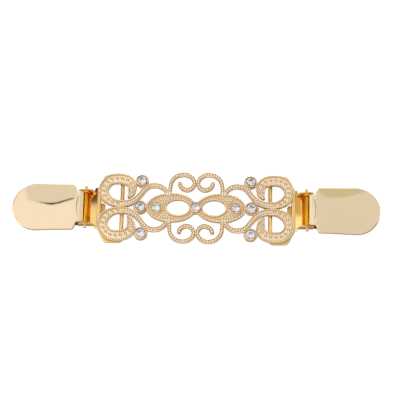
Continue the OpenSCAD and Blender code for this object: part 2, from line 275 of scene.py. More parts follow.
# Middle line of a C-scroll: x and y
c_scroll = [
    (6.7, 10.1), (6.3, 9.1), (5.3, 8.2), (3.9, 7.7), (2.6, 7.9), (1.5, 8.7), (0.85, 10),
    (0.85, 11.3), (1.5, 12.6), (2.7, 13.6), (4.2, 14.2), (5.9, 14.2), (7.7, 13.7), (9.2, 12.6),
    (10.2, 11), (10.6, 9.3), (10.75, 7.4), (10.8, 5.2)]
c_scroll = [(x, y, c_half) for x, y in c_scroll]


def smooth_line(rows, steps):
    """A smooth line through rows of any length: between two rows it is the cubic that passes both,
    and whose slope at each is half the step from the row before it to the row after it."""
    rows = np.asarray(rows, float)
    last = len(rows) - 1
    i = np.arange(last)
    a, b, c, d = (rows[k][:, None] for k in (np.maximum(i - 1, 0), i, i + 1, np.minimum(i + 2, last)))
    t = (np.arange(steps) / steps)[None, :, None]
    spans = b + 0.5 * t * (c - a + t * (2 * a - 5 * b + 4 * c - d + t * (3 * (b - c) + d - a)))
    return np.vstack([spans.reshape(-1, rows.shape[1]), rows[last]])


def distance_along(line):
    """Distance of each point of a line from its start, along the line."""
    steps = np.linalg.norm(np.diff(line[:, :2], axis=0), axis=1)
    return np.concatenate([[0], np.cumsum(steps)])


def leftward(line):
    """Unit vector to the left of a line at each of its points, square to the slope there."""
    slope = np.gradient(line[:, :2], axis=0)
    slope /= np.linalg.norm(slope, axis=1)[:, None]
    return np.column_stack([-slope[:, 1], slope[:, 0]])


def blunt_start(line, steps=7):
    """The line with a half-round start: the width falls as the cosine of an angle whose sine,
    times the first half-width, is the distance before the first point."""
    ahead = line[0, :2] - line[1, :2]
    ahead /= np.linalg.norm(ahead)
    angle = np.linspace(np.pi / 2, 0, steps, endpoint=False)
    half = line[0, 2]
    cap = np.column_stack([line[0, 0] + ahead[0] * half * np.sin(angle),
                           line[0, 1] + ahead[1] * half * np.sin(angle),
                           np.maximum(half * np.cos(angle), 0.03)])
    return np.vstack([cap, line])


def tube_faces(rows, around):
    """Faces of a closed tube of `rows` rings with `around` points each, with both ends shut."""
    cell = np.arange((rows - 1) * around).reshape(rows - 1, around)
    after = np.roll(cell, -1, 1)
    quads = np.dstack([cell, after, after + around, cell + around]).reshape(-1, 4).tolist()
    return quads + [list(range(around)), list(range(rows * around - around, rows * around))]


def hoop_faces(rows, around):
    """Faces of `rows` rings of `around` points each, whose last ring is joined to the first."""
    cell = np.arange(rows * around).reshape(rows, around)
    after = np.roll(cell, -1, 1)
    faces = np.dstack([cell, after, np.roll(after, -1, 0), np.roll(cell, -1, 0)])
    return faces.reshape(-1, 4).tolist()


def scroll_bar(line, back, sink_length=1.2):
    """A flat-backed bar carried along a line. Across it, from each edge: a rounded wall, a rim,
    a groove at the rim's foot, and a channel that is level in the middle. Where the bar is too
    narrow for its rims the channel rises to meet them. In its blunt start all of this shrinks with
    the width, and its last stretch sinks a little, under the rim of the oval that it joins. The
    last column is painted shade: it is strongest in the grooves and at the wall's foot, and a
    channel takes some where it is narrow or where grains fill it."""
    half = line[:, 2:3]
    narrow = np.clip((narrow_half - half) / 0.3, 0, 1)
    wide = 1 - narrow
    shrink = np.minimum(half / blunt_half, 1)
    rim = np.minimum(rim_widest, 0.3 * np.maximum(half, blunt_half) + 0.15 * wide)
    room = np.clip((half - rim * shrink - 0.12) / 0.25, 0, 1)
    low = rim_z - (rim_z - channel_z) * room
    run = distance_along(line)
    sink = 0.45 * np.clip((run - run[-1] + sink_length) / sink_length, 0, 1)[:, None] ** 2
    one, zero = np.ones_like(half), np.zeros_like(half)
    inset = np.hstack([0.12 * one, zero, zero, 0.04 * one, 0.12 * one, rim - 0.1, rim - 0.02,
                       rim + 0.03, rim + 0.12, rim + 0.3])
    height = np.hstack([back * one, (back + 0.15) * one, (rim_z - 0.18) * one, (rim_z - 0.05) * one,
                        (rim_z - 0.06) * one, (rim_z - 0.06) * one, (rim_z - 0.1) * one, low + 0.06,
                        low, low + 0.03])
    # Painted shade in the channel, where it is narrow and where grains fill it
    channel_shade = np.maximum(0.5 * narrow, np.clip((grainy_end - run[:, None]) / 0.6, 0, 0.8))
    # Painted shade across the bar, from edge to middle: darkest at the back edge and at the rims' foot
    painted_shade = np.hstack([one, 0.8 * one, 0.2 * one, 0.1 + 0.5 * wide, 0.1 + 0.8 * wide, 0.1 + 0.8 * wide,
                        0.8 * wide, 0.8 * room, room, channel_shade])
    place = half - inset * shrink
    across = np.hstack([place, zero, -place[:, ::-1]])
    z = np.hstack([height, low + 0.05, height[:, ::-1]])
    z = z - sink * np.clip((z - back - 0.2) / 0.5, 0, 1)
    painted_shade = np.hstack([painted_shade, channel_shade, painted_shade[:, ::-1]])
    left = leftward(line)
    xy = line[:, None, :2] + left[:, None, :] * across[:, :, None]
    points = np.dstack([xy, z, painted_shade])
    return points.reshape(-1, 4), tube_faces(*across.shape)


def turned(profile, x, y, steps=40):
    """A shape turned about an upright axis at x, y. The profile's rows are radius, height and
    painted shade, from the middle of the bottom round to the middle of the top."""
    profile = np.asarray(profile, float)
    angle = angles_round(steps)
    radius, z, painted_shade = profile[:, 0:1], profile[:, 1:2], profile[:, 2:3]
    one = np.ones((1, steps))
    points = np.dstack([x + radius * np.cos(angle), y + radius * np.sin(angle), z * one, painted_shade * one])
    return points.reshape(-1, 4), tube_faces(len(profile), steps)


def oval_frame(sx, steps=144):
    """The flat ring between an ellipse and the smaller ellipse of its opening, which lies nearer
    the middle. A point on the ring goes from one ellipse to the other at the same angle. Both
    edges have a rim with a groove at its foot. The floor is sunk under the cup of the oval's own
    stone, and the ring stops inside the wall of the cup in the middle of the buckle, its outer
    side a little further in than its inner one."""
    angle = angles_round(steps)[:, None]
    outer_in = np.array([[0.14, 0, 0, 0.05, 0.16, 0.6, 0.7, 0.8, 0.95, 1.15]])
    inner_in = np.array([[0.97, 0.8, 0.7, 0.62, 0.5, 0.14, 0.04, 0, 0, 0.12]])
    outer_z = [back_z + 0.01, back_z + 0.16, 4.3, 4.44, 4.5, 4.5, 4.43, 4.16, 4.09, 4.1]
    inner_z = [4.1, 4.09, 4.16, 4.4, 4.47, 4.47, 4.42, 4.28, back_z + 0.16, back_z + 0.01]
    floor = 12
    # Painted shade: darkest at the back edges and the rims' foot, and over the field between the grains
    painted_shade = np.array([1, 0.8, 0.3, 0.1, 0.7, 0.7, 0.7, 0.8, 1, 0.7] + [0.75] * floor
                      + [0.7, 1, 0.8, 0.7, 0.7, 0.7, 0.5, 0.3, 0.9, 1])
    share = np.linspace(0, 1, floor + 2)[None, 1:-1]
    outer_x, inner_x = (middle + reach * np.cos(angle) for middle, reach in (
        (oval_x, oval_rx - outer_in), (hole_x, hole_rx + inner_in)))
    outer_y, inner_y = (oval_ry - outer_in) * np.sin(angle), (hole_ry + inner_in) * np.sin(angle)
    x, y = (np.hstack([outer, outer[:, -1:] * (1 - share) + inner[:, :1] * share, inner])
            for outer, inner in ((outer_x, inner_x), (outer_y, inner_y)))
    z = np.tile(outer_z + [channel_z] * floor + inner_z, (steps, 1))
    z[(np.hypot(x - eye_x, y) < eye_sink) & (z > 4)] = back_z + 0.25
    stop = cup_wall - 0.05 * np.linspace(1, 0, x.shape[1])
    x = np.maximum(x, np.sqrt(np.clip(stop ** 2 - y ** 2, 0, None)))
    points = np.dstack([sx * x, y, z, np.broadcast_to(painted_shade, x.shape)])
    return points.reshape(-1, 4), hoop_faces(*x.shape)


def cup_profile(radius, flange):
    """Radius, height and painted shade of a stone's cup: a flange on the casting, a wall, and a
    thin lip that leans over the stone's girdle."""
    wall = radius + 0.58
    return [(0, back_z + 0.02, 1), (flange - 0.15, back_z + 0.02, 1), (flange, back_z + 0.15, 0.8),
            (flange, 3.98, 0.5), (flange - 0.12, channel_z + 0.03, 0.2), (wall + 0.05, 4.16, 1),
            (wall, 4.3, 0.9), (wall - 0.03, mouth_z - 0.3, 0.3), (wall - 0.12, mouth_z - 0.08, 0.1),
            (wall - 0.26, mouth_z, 0), (radius + 0.24, mouth_z - 0.03, 0.6),
            (radius + 0.17, mouth_z - 0.08, 1), (radius + 0.04, mouth_z - 0.2, 1),
            (radius + 0.07, 3.25, 1), (radius - 0.1, 3.2, 1), (0, 3.2, 1)]


def eye_profile(radius):
    """The cup of an oval's stone: a ridge, a hollow moulding inside it, and the lip."""
    return [(0, 2.98, 1), (3.1, 2.98, 1), (3.16, 4.1, 1), (3.08, 4.33, 0.3), (2.95, 4.42, 0),
            (2.8, 4.36, 0.1), (2.62, 4.2, 0.5), (2.45, 4.2, 0.8), (2.32, 4.4, 0.5), (2.26, 4.75, 0.1),
            (2.18, 4.92, 0), (2.1, 5.0, 0), (radius + 0.18, 4.98, 0.2), (radius + 0.12, 4.93, 0.3),
            (radius + 0.04, 4.8, 0.4), (radius + 0.07, 3.12, 1), (0, 3.1, 1)]


def around_y(x, z, radius, y, angle, painted_shade=0):
    """Points round an axis along Y: from x and z they go out by the radius times the cosine and
    the sine of the angle. The last column is painted shade."""
    parts = x + radius * np.cos(angle), y, z + radius * np.sin(angle), painted_shade
    return np.dstack(np.broadcast_arrays(*parts)).reshape(-1, 4)


def hook_eye(steps=36):
    """A ring round the crossbar, 2 mm long along it, with bevelled edges: an oblong of radius and
    length, with its corners cut off, turned about the bar."""
    oblong = np.array([(0.88, 0.15), (0.88, 1.85), (1.0, 2.0), (1.55, 2.0), (1.7, 1.85), (1.7, 0.15),
                       (1.55, 0), (1.0, 0)])
    angle = angles_round(steps)[:, None]
    # The hook eye takes a little painted shade all over
    points = around_y(bar_x, bar_z, oblong[:, 0], hook_y + oblong[:, 1], angle, 0.2)
    return points, hoop_faces(steps, len(oblong))


def mirrored(shape, sx, sy):
    """The same shape in another quarter of the buckle."""
    points, faces = shape
    return points * [sx, sy, 1, 1], faces


def make_piece(name, shapes, material, smooth_angle=35):
    """One object from several closed shapes, in metres. Doubled points are merged and the faces
    turned outwards; edges sharper than the angle stay crisp. The last column, painted shade,
    becomes an attribute."""
    counts = np.cumsum([0] + [len(points) for points, _ in shapes])
    points = np.vstack([points for points, _ in shapes])
    faces = [[i + start for i in face] for start, (_, part) in zip(counts, shapes) for face in part]
    mesh = bpy.data.meshes.new(name)
    mesh.from_pydata((points[:, :3] * mm).tolist(), [], faces)
    painted_shade = mesh.attributes.new("painted_shade", "FLOAT", "POINT")
    painted_shade.data.foreach_set("value", points[:, 3].astype(np.float32))
    work = bmesh.new()
    work.from_mesh(mesh)
    bmesh.ops.remove_doubles(work, verts=work.verts, dist=2e-7)
    bmesh.ops.recalc_face_normals(work, faces=work.faces)
    work.to_mesh(mesh)
    work.free()
    mesh.shade_smooth()
    mesh.set_sharp_from_angle(angle=np.radians(smooth_angle))
    mesh.materials.append(material)
    piece = bpy.data.objects.new(name, mesh)
    bpy.context.scene.collection.objects.link(piece)
    return piece


def gold_surface_group():
    """Small unevenness of plated metal: slow noise of the point's own place, as a value from 0 to
    1, and a normal that is tilted by fine noise."""
    group = bpy.data.node_groups.new("plating", "ShaderNodeTree")
    face = group.interface
    for label in ("Blotch Scale", "Grain Scale", "Grain Height"):
        face.new_socket(label, in_out="INPUT", socket_type="NodeSocketFloat")
    face.new_socket("Blotches", in_out="OUTPUT", socket_type="NodeSocketFloat")
    face.new_socket("Normal", in_out="OUTPUT", socket_type="NodeSocketVector")
    nodes, links = group.nodes, group.links
    given, given_back = nodes.new("NodeGroupInput"), nodes.new("NodeGroupOutput")
    bump = nodes.new("ShaderNodeBump")
    links.new(object_noise(group, given.outputs["Grain Scale"]), bump.inputs["Height"])
    links.new(given.outputs["Grain Height"], bump.inputs["Distance"])
    links.new(object_noise(group, given.outputs["Blotch Scale"], 3), given_back.inputs["Blotches"])
    links.new(bump.outputs["Normal"], given_back.inputs["Normal"])
    return group


plating = gold_surface_group()


def gold_material(name, pale, deep, rough, painted_shade_colour=None, blotch=180, grain=1500, height=0.000003):
    """Plated metal: its colour goes from pale to deep, and its roughness over the given span, with
    the slow noise; grooves and other shaded places take the last colour as painted shade. Blotches
    and grains are counted to a metre, and a grain's height is in metres."""
    made, tree, shader = new_material(name)
    surface = tree.nodes.new("ShaderNodeGroup")
    surface.node_tree = plating
    surface.inputs["Blotch Scale"].default_value = blotch
    surface.inputs["Grain Scale"].default_value = grain
    surface.inputs["Grain Height"].default_value = height
    blotches = surface.outputs["Blotches"]
    colour = mix_colours(blotches, pale, deep)
    # Painted shade: where the per-point attribute is high, the colour turns towards the last colour
    # given
    if painted_shade_colour:
        depth = tree.nodes.new("ShaderNodeAttribute")
        depth.attribute_name = "painted_shade"
        amount = ramp(depth.outputs["Fac"], 0, 1, 0, 0.8, "LINEAR")
        colour = mix_colours(amount, colour, painted_shade_colour)
    tree.links.new(colour, shader.inputs["Base Color"])
    tree.links.new(ramp(blotches, 0, 1, *rough, "LINEAR"), shader.inputs["Roughness"])
    tree.links.new(surface.outputs["Normal"], shader.inputs["Normal"])
    shader.inputs["Metallic"].default_value = 1
    return made


# Its last colour is the painted shade in the casting's grooves and hollows
cast_gold = gold_material("cast_gold", (1, 0.85, 0.62), (0.99, 0.79, 0.53), (0.12, 0.22),
                          (0.62, 0.33, 0.1), 250, 5000, 0.000008)

quarters = [(sx, sy) for sx in (1, -1) for sy in (1, -1)]
big_line = blunt_start(smooth_line(big_scroll, 8))
# A C-scroll's first stretch is up to 0.1 mm thicker to each side
c_line = smooth_line(c_scroll, 8)
c_line[:, 2] += 0.1 * np.clip(1 - np.arange(len(c_line)) / 10, 0, 1)
c_line = blunt_start(c_line)
casting = []
# Backs at slightly different heights, so that no two share a plane where they meet
for i, (sx, sy) in enumerate(quarters):
    casting.append(mirrored(scroll_bar(big_line, back_z + 0.02 + 0.004 * i), sx, sy))
    casting.append(mirrored(scroll_bar(c_line, back_z + 0.04 + 0.004 * i), sx, sy))
    casting.append(turned(cup_profile(stone_radius, 2.78), sx * corner_x, sy * corner_y))
    casting.append(mirrored(hook_eye(), sx, sy))
for sx in (1, -1):
    casting.append(oval_frame(sx))
    casting.append(turned(cup_profile(stone_radius, 2.83), sx * mid_x, 0))
    casting.append(turned(eye_profile(stone_radius), sx * eye_x, 0))
casting.append(turned(cup_profile(middle_radius, 2.68), 0, 0))
ornament = make_piece("ornament_casting", casting, cast_gold)
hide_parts("ornament")
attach(ornament, "ornament")

# Beads and rings. Fine work that is cast with the ornament's face, in the same plated zinc: a row
# of round beads down every narrow band and rim, rings with a bead in them in the wide channels,
# and grains in the wide fields. The beads and grains are painted paler than the rest, a painted
# highlight; their feet take painted shade.
def spaced(line, gap, start=0.0, end=None):
    """Points at equal distances along a line, about `gap` apart, from one distance to another."""
    run = distance_along(line)
    end = run[-1] if end is None else end
    at = np.linspace(start, end, int(round((end - start) / gap)) + 1)
    return np.column_stack([np.interp(at, run, line[:, k]) for k in range(line.shape[1])])


def bead_shapes(places, segments=8):
    """Round beads as low domes, 0.62 times as high as half their width. Each place is x, y, height
    of the bead's middle, and radius; its rings lie at polar angles from almost 0 to 120 degrees."""
    places = np.asarray(places, float)
    polar = np.radians([0.5, 30, 58, 85, 120])
    angle = angles_round(segments)
    unit = np.dstack([np.outer(np.sin(polar), np.cos(angle)), np.outer(np.sin(polar), np.sin(angle)),
                      0.62 * np.outer(np.cos(polar), np.ones(segments))]).reshape(-1, 3)
    points = places[:, None, :3] + unit[None] * places[:, None, 3:4]
    # Painted shade at each bead's foot: its two lowest rings are darkened
    depth = np.broadcast_to(np.repeat([0, 0, 0, 0.6, 0.9], segments), points.shape[:2])
    points = np.dstack([points, depth]).reshape(-1, 4)
    pattern = tube_faces(5, segments)
    size = 5 * segments
    faces = [[i + k * size for i in face] for k in range(len(places)) for face in pattern]
    return points, faces


def ring_shapes(places):
    """Little rings with a bead inside: a turned profile with a ridge, a circular groove and a
    dome, a bit sunk in the channel."""
    # Painted shade in the ring's groove and on its inner wall
    profile = [(0, 3.9, 0), (0.9, 3.9, 0), (0.88, 4.17, 0), (0.8, 4.24, 0), (0.73, 4.25, 0),
               (0.67, 4.23, 0.8), (0.61, 4.18, 1), (0.36, 4.18, 1), (0.3, 4.21, 1), (0.25, 4.26, 0.1),
               (0.13, 4.31, 0), (0, 4.32, 0)]
    return [turned(profile, x, y, 14) for x, y in places]


def in_ellipse(x, y, centre, half_length, half_height):
    """How far out a point lies in an ellipse: 0 in its middle and 1 on its line."""
    return np.hypot((x - centre) / half_length, y / half_height)


# Paler than the cast gold as painted highlight; its last colour is painted shade at the beads' feet
bead_highlight_gold = gold_material("bead_highlight_gold", (1, 0.91, 0.73), (1, 0.87, 0.64), (0.12, 0.22),
                          (0.58, 0.3, 0.1), 400, 5000, 0.000004)
big_core = smooth_line(big_scroll, 8)
big_left = leftward(big_core)
big_run = distance_along(big_core)
scroll_end, c_start = 31.0, 0.95
rim_bead, rim_gap, band_bead, band_gap = 0.36, 0.9, 0.53, 1.12
rim_bead_z, band_bead_z, grain_z, field_z = 4.42, 4.3, 4.18, 4.14
grain_size, grain_row, grain_gap, grains_end = 0.4, 0.82, 0.9, 5.4
# One quarter: beads on the big scroll's rims and down the narrow bands, and rows of grains
# across the big scroll's first stretch
rows = []
for edge_side in (1, -1):
    rim_line = big_core[:, :2] + big_left * edge_side * (big_core[:, 2:3] - rim_bead)
    rows += [(x, y, rim_bead_z, rim_bead) for x, y in spaced(rim_line[big_run < scroll_end], rim_gap)]
for band in (spaced(big_core, band_gap, scroll_end, big_run[-1] - 0.2),
             spaced(c_line, band_gap, c_start)):
    rows += [(x, y, band_bead_z, band_bead) for x, y, half in band]
for k, s in enumerate(np.arange(0.5, grains_end, grain_row)):
    x, y, half = (np.interp(s, big_run, big_core[:, c]) for c in range(3))
    left_x, left_y = (np.interp(s, big_run, big_left[:, c]) for c in range(2))
    offsets = np.arange(-3, 4) * grain_gap + (grain_gap / 2 if k % 2 else 0)
    rows += [(x + left_x * a, y + left_y * a, grain_z, grain_size)
             for a in offsets if abs(a) <= half - 0.75]
quarter_beads = np.array(rows)

# One half: beads on the rims of the oval and its opening, and grains in the field between
oval_gap, oval_bead, hole_bead, field_grain, field_gap = 1.08, 0.46, 0.42, 0.42, 0.95
field_edge, field_hole, eye_clear, middle_clear = 1.35, 1.2, 3.45, 2.5
angle = np.linspace(0, 2 * np.pi, 241)
half_rows = []
for middle, rx, ry, z, size in ((oval_x, oval_rx - 0.4, oval_ry - 0.4, 4.46, oval_bead),
                                (hole_x, hole_rx + 0.35, hole_ry + 0.35, 4.44, hole_bead)):
    hoop = spaced(np.column_stack([middle + rx * np.cos(angle), ry * np.sin(angle)]), oval_gap)
    half_rows += [(x, y, z, size) for x, y in hoop[:-1] if np.hypot(x, y) > middle_clear]
grid_x, grid_y = np.meshgrid(np.arange(0, 24), np.arange(-8, 9))
grid_x = 1.0 + field_gap * (grid_x + 0.5 * (grid_y % 2))
grid_y = grain_row * grid_y
field = ((in_ellipse(grid_x, grid_y, oval_x, oval_rx - field_edge, oval_ry - field_edge) < 1)
         & (in_ellipse(grid_x, grid_y, hole_x, hole_rx + field_hole, hole_ry + field_hole) > 1)
         & (np.hypot(grid_x - eye_x, grid_y) > eye_clear))
half_rows += [(x, y, field_z, field_grain) for x, y in zip(grid_x[field], grid_y[field])]
half_beads = np.array(half_rows)

beads = np.vstack([quarter_beads * [sx, sy, 1, 1] for sx, sy in quarters]
                  + [half_beads * [sx, 1, 1, 1] for sx in (1, -1)])
bead_piece = make_piece("ornament_beads", [bead_shapes(beads)], bead_highlight_gold, 60)
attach(bead_piece, "ornament")

ring_gap, first_ring, last_ring = 2.15, 5.9, 29.55
ring_places = spaced(big_core, ring_gap, first_ring, last_ring)
ring_places = np.vstack([ring_places[:, :2] * [sx, sy] for sx, sy in quarters])
ring_piece = make_piece("ornament_rings", ring_shapes(ring_places), cast_gold, 60)
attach(ring_piece, "ornament")

# Stones. Nine clear glass chatons, cut with a table, eight star, eight kite and sixteen girdle
# facets over a pointed back, and held in the cups over a silver foil that mirrors the light back.
# Dark patches on the foil are painted reflection: the dark facets of a real stone.
def brilliant(x, y, z, r):
    """Corner points of a round cut stone in rings: table, kite corners, both edges of the girdle,
    lower corners and point. Kite corners lie in the plane through the table's corner and the
    girdle, so each kite is all but flat."""
    crown, depth, table_r, kite_r, low_r = 0.4 * r, 0.78 * r, 0.56 * r, 0.8 * r, 0.42 * r
    cos = np.cos(np.pi / 8)
    kite_z = crown * (r - kite_r * cos) / (r - table_r)
    low_z = -depth + (depth - 0.03) * low_r * cos / r
    eight = np.arange(8) * np.pi / 4
    sixteen = np.arange(16) * np.pi / 8
    rings = [(table_r, crown, eight), (kite_r, kite_z, eight + np.pi / 8), (r, 0.02, sixteen),
             (r, -0.03, sixteen), (low_r, low_z, eight + np.pi / 8)]
    points = np.vstack([np.column_stack([x + radius * np.cos(a), y + radius * np.sin(a),
                                         np.full(len(a), z + height)]) for radius, height, a in rings]
                       + [[x, y, z - depth]])
    k = np.arange(8)
    after = (k + 1) % 8
    before = (k + 7) % 8
    table, kite, girdle, under, low, point = 0, 8, 16, 32, 48, 56
    j = np.arange(16)
    faces = [list(range(8))]
    for corners in ((table + k, kite + k, table + after),
                    (table + k, kite + before, girdle + 2 * k, kite + k),
                    (kite + k, girdle + 2 * k, girdle + 2 * k + 1),
                    (kite + k, girdle + 2 * k + 1, girdle + 2 * after),
                    (girdle + j, girdle + (j + 1) % 16, under + (j + 1) % 16, under + j),
                    (low + k, under + 2 * k, under + 2 * k + 1),
                    (low + k, under + 2 * k + 1, under + 2 * after),
                    (low + k, under + 2 * k, low + before, np.full(8, point))):
        faces += np.column_stack(corners).tolist()
    return np.column_stack([points, np.zeros(len(points))]), faces


def foil_cone(x, y, z, r):
    """A thin foil cup just behind a stone's back: two eight-sided cones, 0.03 mm apart at the rim
    and 0.06 mm at the point."""
    depth = 0.78 * r
    return turned([(0, z - depth - 0.1, 0), (r + 0.02, z - 0.08, 0), (r + 0.02, z - 0.05, 0),
                   (0, z - depth - 0.04, 0)], x, y, 8)


glass, tree, shader = new_material("clear_glass")
shader.inputs["Base Color"].default_value = (0.98, 0.97, 0.98, 1)
shader.inputs["Transmission Weight"].default_value = 1
shader.inputs["IOR"].default_value = 1.6
shader.inputs["Roughness"].default_value = 0

foil_bright, foil_dark = (1, 0.98, 0.99), (0.1, 0.1, 0.12)
foil, tree, shader = new_material("silver_foil")
# Painted reflection: noise patches turn the foil nearly black, for dark facet reflections
dark_reflection_patches = ramp(object_noise(tree, 1500), 0.55, 0.62, 0, 1)
tree.links.new(mix_colours(dark_reflection_patches, foil_bright, foil_dark), shader.inputs["Base Color"])
shader.inputs["Metallic"].default_value = 1
shader.inputs["Roughness"].default_value = 0.02

girdle_z = 5.05
stone_places = {"stone_centre": (0, 0, girdle_z, middle_radius)}
ends = (("left", -1), ("right", 1))
for side, sx in ends:
    stone_places["stone_eye_" + side] = (sx * eye_x, 0, girdle_z - 0.3, stone_radius)
    stone_places["stone_mid_" + side] = (sx * mid_x, 0, girdle_z, stone_radius)
    stone_places["stone_upper_" + side] = (sx * corner_x, corner_y, girdle_z, stone_radius)
    stone_places["stone_lower_" + side] = (sx * corner_x, -corner_y, girdle_z, stone_radius)
foils = []
for node, place in stone_places.items():
    stone = make_piece(node + "_cut", [brilliant(*place)], glass, 1)
    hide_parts(node)
    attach(stone, "ornament")
    foils.append(foil_cone(*place))
foil_piece = make_piece("stone_foils", foils, foil, 1)
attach(foil_piece, "ornament")

# Clip frames. Each is stamped from brass-plated steel sheet: a strap loop with a round crossbar
# that hangs in the hook eyes, a shoulder, and a curved panel whose sides are folded up as ears.
sheet_thick, panel_thick = 0.7, 0.5
# Corners of the loop's path from the crossbar to the shoulder: x, y and radius
loop_corners = [(30.5, -12.98, 0), (30.5, -13.9, 0.9), (36.9, -13.9, 2.2), (39.75, -8.25, 1.3)]
# Half of the crossbar from its end inwards: distance from the middle and radius
bar_rows = [(14.3, 0.1), (14.25, 0.35), (14.1, 0.58), (13.9, 0.72), (13.6, 0.8)]
panel_from, panel_to, panel_half, shoulder_half = 40.4, 44.2, 7.45, 8.7
panel_top, panel_slope, panel_bend, step_from, step_length = 2.35, 0.32, 125.0, 41.45, 0.35
# The ears' faces are painted darker, as painted shade, where they stand under the cover
ear_half, ear_shade = 7.5, 0.7


def rounded(rows, steps):
    """An outline with its corners rounded. Each row is x, y and the corner's radius; the arc
    touches both sides and its middle lies on the line that halves the corner."""
    out = []
    for k, (x, y, r) in enumerate(rows):
        here = np.array([x, y], float)
        if r == 0:
            out.append(here[None])
            continue
        u, v = (np.array(rows[(k + d) % len(rows)][:2]) - here for d in (-1, 1))
        u, v = u / np.linalg.norm(u), v / np.linalg.norm(v)
        half = np.arccos(np.clip(u @ v, -1, 1)) / 2
        middle = here + (u + v) / np.linalg.norm(u + v) * r / np.sin(half)
        a, b = here + u * r / np.tan(half) - middle, here + v * r / np.tan(half) - middle
        turn = np.arctan2(a[0] * b[1] - a[1] * b[0], a @ b)
        t = np.linspace(0, turn, steps)[:, None]
        out.append(middle + a * np.cos(t) + np.array([-a[1], a[0]]) * np.sin(t))
    return np.vstack(out)


def swept_bar(path, profile, z):
    """A closed profile carried along a level path: its first number goes to the left of the path
    and its second one up from z."""
    left = leftward(path)
    xy = path[:, None, :] + left[:, None, :] * profile[None, :, 0:1]
    height = np.broadcast_to(z + profile[:, 1], xy.shape[:2])
    points = np.dstack([xy, height, np.zeros_like(height)])
    return points.reshape(-1, 4), tube_faces(len(path), len(profile))


def rod(x, z, half_rows, steps=28):
    """A round rod along Y, alike at both ends. A row is the distance from the middle, and the
    radius of the circle there, from the rod's end inwards."""
    rows = np.array([(-y, r) for y, r in half_rows] + [(y, r) for y, r in half_rows[::-1]])
    points = around_y(x, z, rows[:, 1:], rows[:, :1], angles_round(steps))
    return points, tube_faces(len(rows), steps)


def plate(outline, low, high, edge=0.08, upright=False, sheet_shade=0.0):
    """A flat plate with slightly rounded edges: its outline is drawn four times, smaller by the
    edge's radius at both faces. An upright one has its outline in X and Z and its faces across Y.
    The faces take the given painted shade, and the rim half of it."""
    inward = leftward(np.vstack([outline[-1], outline, outline[0]]))[1:-1]
    x, y = outline.T
    area = np.sum(x * np.roll(y, -1) - y * np.roll(x, -1))
    small = outline + inward * edge * np.sign(area)
    rings = [np.column_stack([line, np.full(len(line), level)]) for line, level in (
        (small, low), (outline, low + edge), (outline, high - edge), (small, high))]
    points = np.vstack(rings)
    if upright:
        points = points[:, [0, 2, 1]]
    depth = np.repeat([sheet_shade, sheet_shade / 2, sheet_shade / 2, sheet_shade], len(outline))
    return np.column_stack([points, depth]), tube_faces(4, len(outline))


def grid_shell(outer, inner, between):
    """A closed shell of two grids of points with equal rows and columns. Their borders are joined
    through rings of points whose share of the way from the outer to the inner border, and whose
    height over the inner border, are given."""
    rows, columns = outer.shape[:2]
    cell = np.arange(rows * columns).reshape(rows, columns)
    quads = np.dstack([cell[:-1, :-1], cell[1:, :-1], cell[1:, 1:], cell[:-1, 1:]]).reshape(-1, 4)
    border = np.concatenate([cell[:-1, 0], cell[-1, :-1], cell[:0:-1, -1], cell[0, :0:-1]])
    points = [outer.reshape(-1, 4), inner.reshape(-1, 4)]
    size = rows * columns
    rings = [border]
    for k, (share, rise) in enumerate(between):
        ring = points[0][border] * (1 - share) + points[1][border] * share
        ring[:, 2] = points[1][border, 2] + rise
        points.append(ring)
        rings.append(2 * size + k * len(border) + np.arange(len(border)))
    rings.append(border + size)
    faces = [quads, quads + size]
    for a, b in zip(rings, rings[1:]):
        faces.append(np.column_stack([a, np.roll(a, -1), np.roll(b, -1), b]))
    return np.vstack(points), np.vstack(faces).tolist()


def smooth_step(x, start, length):
    """A value that goes smoothly from 0 to 1 while x goes from the start over the length: three
    squares of its share of the way, less two cubes."""
    share = np.clip((x - start) / length, 0, 1)
    return share * share * (3 - 2 * share)


def panel_sheet():
    """The panel: a sheet that slopes down from the shoulder, a little less steeply towards its free
    edge, and is bent to an arc across its width. Its shoulder end is wider."""
    run = np.linspace(0, 1, 25)[:, None]
    x = panel_from + (panel_to - panel_from) * run
    half = shoulder_half + (panel_half - shoulder_half) * smooth_step(x, step_from, step_length)
    y = half * np.linspace(-1, 1, 31)[None]
    top = panel_top - (x - panel_from) * (panel_slope - run * 0.05) - y ** 2 / (2 * panel_bend)
    x = np.broadcast_to(x, y.shape)
    outer = np.dstack([x, y, top, np.zeros_like(y)])
    inner = outer - [0, 0, panel_thick, 0]
    return grid_shell(outer, inner, [(0, panel_thick - 0.08), (0, 0.08)])


# Its last colour is the painted shade on the ears
frame_gold = gold_material("frame_gold", (0.95, 0.68, 0.3), (0.92, 0.58, 0.2), (0.06, 0.13),
                           (0.4, 0.2, 0.1))
loop_path = rounded(loop_corners + [(x, -y, r) for x, y, r in loop_corners[::-1]], 9)
loop_section = rounded([(-0.8, -0.75, 0.3), (0.8, -0.75, 0.3), (0.8, 0.75, 0.3), (-0.8, 0.75, 0.3)], 4)
ear_outline = rounded([(41.9, 0.75, 0.3), (48.1, 0.75, 0.9), (48.1, 3.6, 0.9), (45.1, 4.4, 2.2),
                       (42.2, 3.6, 0.7)], 7)
for side, sx in ends:
    shapes = [swept_bar(loop_path, loop_section, bar_z), rod(bar_x, bar_z, bar_rows), panel_sheet()]
    shapes += [plate(ear_outline, low, low + sheet_thick, upright=True, sheet_shade=ear_shade)
               for low in (-ear_half, ear_half - sheet_thick)]
    shapes = [mirrored(shape, sx, 1) for shape in shapes]
    clip_frame = make_piece("clip_frame_" + side, shapes, frame_gold)
    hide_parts("frame_" + side)
    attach(clip_frame, "clip_" + side)

